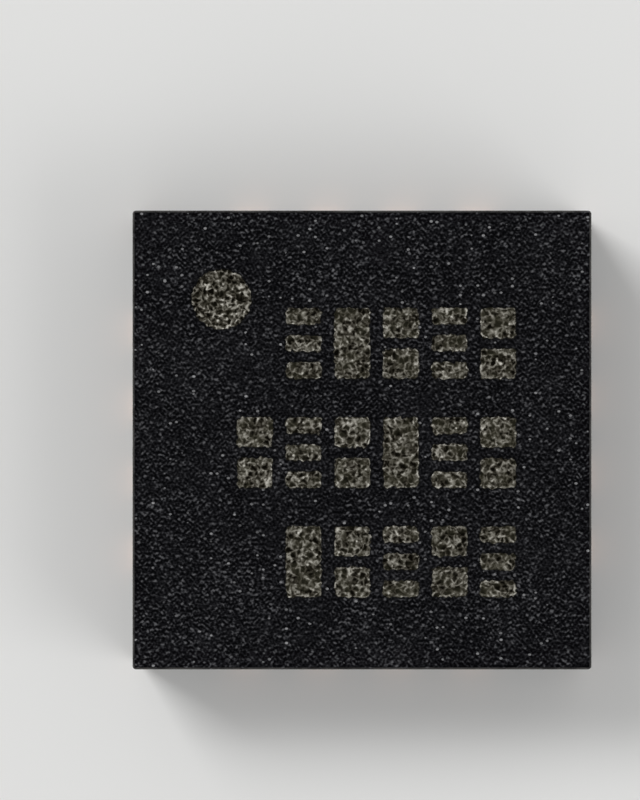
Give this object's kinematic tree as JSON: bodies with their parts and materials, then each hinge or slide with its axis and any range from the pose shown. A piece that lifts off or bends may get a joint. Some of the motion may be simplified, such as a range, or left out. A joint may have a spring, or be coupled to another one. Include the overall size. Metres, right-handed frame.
{
  "type": "backlight driver chip",
  "caption": "Flat square leadless package with a black moulded body, solder lands along every side and an exposed pad below; drives a backlight.",
  "frame": {"origin": "centre of the package on the solder plane", "axes": "+Z towards the marked face; +X and +Y along the sides, with the first lead the upper one on the -X side; leads count counter-clockwise seen from +Z"},
  "size_m": [0.003, 0.003, 0.0008],
  "materials": {
    "mould": "black filled epoxy with a fine spark-eroded grain, and laser marks in olive grey",
    "tin_plate": "matte tin plate on etched copper, with bare sawn copper ends",
    "silicon": "polished silicon with metal bond pads",
    "attach": "silver filled epoxy",
    "gold": "drawn gold wire"
  },
  "bodies": {
    "root": {"mould_body": "mould", "die_paddle": "tin_plate", "die_attach": "attach", "die": "silicon", "lead_01": "tin_plate", "lead_02": "tin_plate", "lead_03": "tin_plate", "lead_04": "tin_plate", "lead_05": "tin_plate", "lead_06": "tin_plate", "lead_07": "tin_plate", "lead_08": "tin_plate", "lead_09": "tin_plate", "lead_10": "tin_plate", "lead_11": "tin_plate", "lead_12": "tin_plate", "lead_13": "tin_plate", "lead_14": "tin_plate", "lead_15": "tin_plate", "lead_16": "tin_plate", "bond_wire_01": "gold", "bond_wire_02": "gold", "bond_wire_03": "gold", "bond_wire_04": "gold", "bond_wire_05": "gold", "bond_wire_06": "gold", "bond_wire_07": "gold", "bond_wire_08": "gold", "bond_wire_09": "gold", "bond_wire_10": "gold", "bond_wire_11": "gold", "bond_wire_12": "gold", "bond_wire_13": "gold", "bond_wire_14": "gold", "bond_wire_15": "gold", "bond_wire_16": "gold"}
  },
  "joints": []
}
